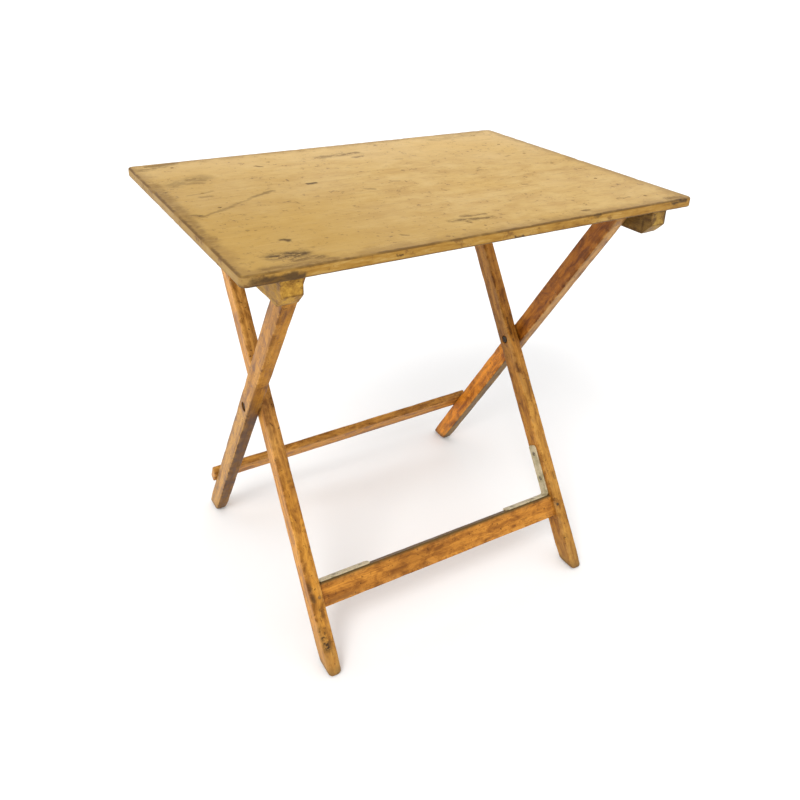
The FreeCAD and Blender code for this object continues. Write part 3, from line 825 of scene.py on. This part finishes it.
def build_screws(name, node, direction, body, seed):
    """Slotted screws in place of a grouped CAD node, heads where the CAD heads are."""
    mesh = bmesh.new()
    (wear_layer,) = layers(mesh, "wear")
    for index, island in enumerate(islands(node)):
        matrix = aim(screw_head_point(island, direction), direction)
        slotted_head(mesh, matrix, seed + 1.3 * index)
        for vertex in mesh.verts:
            vertex[wear_layer] = 0.2
        revolve(mesh, SHANK, matrix, 16)
    return new_piece(name, mesh, screw_material, body, node)


# ---- materials ----
board_material = board_paint()
batten_material = {
    "left": timber("batten_paint_left", (0.440, 0.236, 0.032), grain_axis=1, seed=(3, 1, 2), mottled=0.4,
                   worn_edge=0.2, rough=(0.5, 0.65)),
    # the right batten's side faces get a dark tint that paints the shade under the board
    "right": timber("batten_paint_and_shade_right", (0.305, 0.172, 0.030), (0.165, 0.088, 0.018), grain_axis=1,
                    seed=(8, 6, 7), mottled=0.4, worn_edge=0.2, rough=(0.5, 0.65)),
}
bare_material = timber("bare_wood", (0.350, 0.200, 0.080), grain_axis=0, seed=(2, 4, 9), mottled=0.3,
                       worn_edge=0.2, rough=(0.65, 0.8), coat=0.0)
rail_material = timber("rail_varnish", (0.400, 0.205, 0.060), grain_axis=0, lean=1, seed=(5, 4, 9))
front_material = timber("front_stretcher_varnish", (0.510, 0.205, 0.026), grain_axis=0, lean=1, seed=(4, 9, 3),
                        mottled=0.75, top_darkening=0.9, worn_edge=0.3)
rear_material = timber("rear_stretcher_varnish", (0.560, 0.250, 0.044), grain_axis=0, lean=-1, seed=(3, 2, 8),
                       mottled=0.5, top_darkening=0.2, worn_edge=0.3)
# each leg: front, side, lower front and lower side tints; besides the varnish's own colour they hold painted shade,
# darker where a face or its upper part lies in the board's shadow or turns from the light
leg_materials = {
    ("outer", "left"): timber(
        "leg_varnish_and_shade_outer_left", (0.400, 0.165, 0.014), (0.500, 0.232, 0.048), (0.150, 0.058, 0.003),
        (0.500, 0.255, 0.064), lean=-1, seed=(0, 7, 0), low_from=0.34, foot=0.15, mottled=0.5),
    ("outer", "right"): timber(
        "leg_varnish_and_shade_outer_right", (0.420, 0.212, 0.062), (0.395, 0.134, 0.012), (0.210, 0.120, 0.036),
        (0.670, 0.230, 0.016), lean=-1, seed=(4, 2, 9), foot=0.2, mottled=0.25),
    ("inner", "left"): timber(
        "leg_varnish_and_shade_inner_left", (0.530, 0.250, 0.048), (0.660, 0.310, 0.070), (0.480, 0.205, 0.024),
        (0.640, 0.290, 0.055), lean=1, seed=(9, 5, 4), low_from=0.26, foot=0.5, mottled=0.75,
        marks=(((-0.236, -0.016, 0.060), (-0.233, -0.016, 0.034), 0.0100, 1.0),
               ((-0.238, -0.016, 0.128), (-0.236, -0.016, 0.104), 0.0060, 0.7),
               ((-0.230, -0.016, 0.090), (-0.230, -0.016, 0.080), 0.0060, 0.6),
               ((-0.229, -0.016, 0.600), (-0.228, -0.016, 0.592), 0.0040, 0.9),
               ((-0.234, -0.016, 0.560), (-0.226, -0.016, 0.556), 0.0032, 0.7))),
    ("inner", "right"): timber(
        "leg_varnish_and_shade_inner_right", (0.480, 0.200, 0.026), (0.390, 0.172, 0.028), (0.450, 0.208, 0.032),
        (0.430, 0.182, 0.024), lean=1, seed=(2, 9, 6), foot=0.45, mottled=0.65,
        marks=(((0.226, -0.016, 0.440), (0.228, -0.016, 0.400), 0.0040, 0.7),
               ((0.234, -0.016, 0.160), (0.236, -0.016, 0.150), 0.0045, 0.6))),
}
bracket_material = metal("plated_steel", (0.560, 0.480, 0.310), (0.400, 0.345, 0.200), (0.200, 0.110, 0.045),
                         0.45, 0.50, 0.6)
screw_material = metal("screw_steel", (0.300, 0.262, 0.190), (0.170, 0.145, 0.098), (0.120, 0.055, 0.020),
                       0.9, 0.48)
# pivot heads: near-black steel, darker than a lit head would be, so it also paints the shade inside their recesses
pivot_dark_and_shade_material = metal("dark_steel_and_shade", (0.050, 0.040, 0.032), (0.024, 0.019, 0.015), (0.055, 0.026, 0.012),
                      0.8, 0.60, 0.6)
nail_material = metal("nail_steel", (0.110, 0.062, 0.026), (0.060, 0.034, 0.015), (0.070, 0.032, 0.013),
                      0.9, 0.60, 0.4)
varnished_nails = metal("varnished_nail", (0.330, 0.160, 0.030), (0.220, 0.100, 0.020), (0.120, 0.050, 0.012),
                        0.6, 0.55, 0.2)
painted_nails = timber("painted_nails", (0.300, 0.180, 0.045), grain_axis=0, seed=(1, 5, 2), mottled=0.8,
                       rough=(0.5, 0.65), coat=0.0)

# ---- top ----
new_piece("board", make_board(), board_material, "top", "tabletop", smooth=50)
for index, (name, side) in enumerate(SIDES):
    low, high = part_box("batten_" + name)
    new_piece("batten_strip_" + name, make_batten(low, high, 3.7 + index), batten_material[name],
              "top", "batten_" + name)
    low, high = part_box("stop_block_" + name)
    block = bar(0, (high.y - low.y, high.z - low.z - 0.2 * MM), 0, high.x - low.x, 11.0 + index, flat=(4, 4))
    new_piece("stop_cleat_" + name, block, bare_material, "top", "stop_block_" + name,
              matrix=lying(low.x, (low.y + high.y) / 2, (low.z + high.z) / 2))
    build_screws("stop_cleat_screws_" + name, "stop_block_screws_" + name, (0, 0, 1), "top", 0.4 + index)

# ---- legs ----
for kind, matrix, lean, body in (("outer", OUTER, LEAN, "outer_frame"), ("inner", INNER, -LEAN, "inner_frame")):
    for index, (name, side) in enumerate(SIDES):
        node = kind + "_leg_" + name
        low, high = local_box(node, matrix)
        leg = bar((low.x + high.x) / 2, (LEG_THICK, LEG_WIDTH), 0, LEG_LENGTH, 5.3 * index + 5 + 2.0 * side,
                  leg=True, lean=lean)
        piece = new_piece("leg_" + kind + "_" + name, leg, leg_materials[kind, name], body, node,
                          matrix=matrix)
        face_x = high.x if (side > 0) == (kind == "outer") else low.x
        inward = -1 if face_x == high.x else 1
        cut_recess(piece, CROSSING, face_x - inward * RECESS_CLEAR, face_x + inward * RECESS_DEEP)
        if kind == "outer":
            inner_x = low.x if side > 0 else high.x
            cut_recess(piece, TOP_PIVOT, inner_x - side * RECESS_CLEAR, inner_x + side * RECESS_DEEP)

# ---- stretchers and top rail ----
low, high = local_box("front_stretcher", INNER)
inner_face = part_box("inner_leg_right")[0].x
front = bar(0, (high.y - low.y, high.z - low.z), -inner_face, inner_face, 21.0, radius=1.8 * MM, arris=0.3 * MM,
            flat=(4, 7))
new_piece("stretcher_front", front, front_material, "inner_frame", "front_stretcher",
          matrix=INNER @ lying(0, (low.y + high.y) / 2, (low.z + high.z) / 2))

low, high = local_box("rear_stretcher", OUTER)
rear_half = (high.x - low.x - REAR_HEIGHT * math.sin(REAR_TILT)) / 2 / math.cos(REAR_TILT)
rear = bar(0, (high.y - low.y - 0.2 * MM, REAR_HEIGHT), -rear_half, rear_half, 27.0, flat=(4, 7))
turn = OUTER @ Matrix.Translation((low + high) / 2) @ Matrix.Rotation(-REAR_TILT, 4, "Y") @ lying()
new_piece("stretcher_rear", rear, rear_material, "outer_frame", "rear_stretcher",
          matrix=turn)

rail = bmesh.new()
layers(rail, "wear")
rail_profile = [(0.0, -inner_face), (10 * MM, -inner_face)]
for step in range(61):
    waviness = 0.2 * MM * noise.noise(Vector((step * 0.7, 1, 2)))
    rail_profile.append((10.75 * MM + waviness, -inner_face + 2 * inner_face * step / 60))
rail_profile += [(10 * MM, inner_face), (0.0, inner_face)]
revolve(rail, rail_profile, aim(Vector((0, -TOP_PIVOT.y, TOP_PIVOT.z)), (1, 0, 0)), 32)
new_piece("rail_top", rail, rail_material, "inner_frame", "top_rail")

# ---- brackets, screws and nails ----
down_inner = INNER.to_3x3() @ Vector((0, 0, -1))
forward_outer = OUTER.to_3x3() @ Vector((0, -1, 0))
for index, (name, side) in enumerate(SIDES):
    low, high = local_box("bracket_" + name, INNER)
    new_piece("corner_bracket_" + name, make_bracket(side, low, high), bracket_material,
              "inner_frame", "bracket_" + name, matrix=INNER)
    build_screws("bracket_screws_leg_" + name, "bracket_leg_screws_" + name, (side, 0, 0), "inner_frame",
                 0.9 + index)
    build_screws("bracket_screws_stretcher_" + name, "bracket_stretcher_screws_" + name, down_inner,
                 "inner_frame", 0.2 + index)
    build_screws("stretcher_rear_screws_" + name, "rear_stretcher_screws_" + name, forward_outer,
                 "outer_frame", 1.7 + index)

for node, piece in frame["nodes"].items():
    finish, slot = None, None
    if "batten_nails" in node:
        finish, slot = painted_nails, "nail_steel"
    elif "nail" in node:
        finish, slot = (varnished_nails if node.endswith("left") else nail_material), "nail_steel"
    elif "pivot" in node:
        # pivot heads get the near-black steel that also paints the shade of their recesses
        finish, slot = pivot_dark_and_shade_material, "pivot_steel"
    if finish is not None:
        piece.data.materials.clear()
        piece.data.materials.append(finish)

# ---- floor, light and camera ----
floor_shader = Shader("floor_paint")
floor_cloud = floor_shader.noise(floor_shader.position(), 1.5, 3.0, 0.5)
floor_colour = floor_shader.ramp(floor_cloud, ((0.3, (0.91, 0.91, 0.91)), (0.7, (0.94, 0.94, 0.94))))
floor_relief = floor_shader.relief(0.0005, 0.2, (floor_cloud, 1.0))
floor_mesh = bmesh.new()
bmesh.ops.create_grid(floor_mesh, x_segments=2, y_segments=2, size=30.0)
floor_data = bpy.data.meshes.new("floor")
floor_mesh.to_mesh(floor_data)
floor_mesh.free()
floor_data.materials.append(floor_shader.finish(floor_colour, 0.9, floor_relief, gloss=0.0))
floor = bpy.data.objects.new("floor", floor_data)
floor.location.z = -0.6 * MM
bpy.context.scene.collection.objects.link(floor)

world = bpy.data.worlds.new("studio")
bpy.context.scene.world = world
world.use_nodes = True
background = world.node_tree.nodes["Background"]
background.inputs["Color"].default_value = (1.0, 1.0, 1.0, 1.0)
background.inputs["Strength"].default_value = 1.05

# a broad, soft sun from the front left
sun_data = bpy.data.lights.new("key", "SUN")
sun_data.energy = 1.25
sun_data.angle = math.radians(24.0)
sun_data.color = (1.0, 0.995, 0.985)
sun = bpy.data.objects.new("key", sun_data)
sun.rotation_mode = "QUATERNION"
sun.rotation_quaternion = Vector((-0.58, -0.42, 0.70)).to_track_quat("Z", "Y")
bpy.context.scene.collection.objects.link(sun)

CAMERA_PLACE = Vector((-0.5808, -0.9771, 0.9630))
CAMERA_TURN, CAMERA_TILT, CAMERA_ROLL = 0.5398, 0.4548, 0.0284
SENSOR_WIDTH, FOCAL_SHARE = 36.0, 0.98715
camera_data = bpy.data.cameras.new("camera")
camera_data.sensor_width = SENSOR_WIDTH
camera_data.lens = SENSOR_WIDTH * FOCAL_SHARE
camera_data.shift_y = -0.0875
camera_data.clip_start, camera_data.clip_end = 0.02, 60.0
camera = bpy.data.objects.new("camera", camera_data)
ahead = Vector((math.sin(CAMERA_TURN) * math.cos(CAMERA_TILT), math.cos(CAMERA_TURN) * math.cos(CAMERA_TILT),
                -math.sin(CAMERA_TILT)))
right = Vector((math.cos(CAMERA_TURN), -math.sin(CAMERA_TURN), 0))
up = right.cross(ahead)
rolled_right = right * math.cos(CAMERA_ROLL) + up * math.sin(CAMERA_ROLL)
rolled_up = up * math.cos(CAMERA_ROLL) - right * math.sin(CAMERA_ROLL)
turn = Matrix((rolled_right, rolled_up, -ahead)).transposed().to_4x4()
camera.matrix_world = Matrix.Translation(CAMERA_PLACE) @ turn
bpy.context.scene.collection.objects.link(camera)
bpy.context.scene.camera = camera
bpy.context.scene.view_settings.view_transform = "Standard"
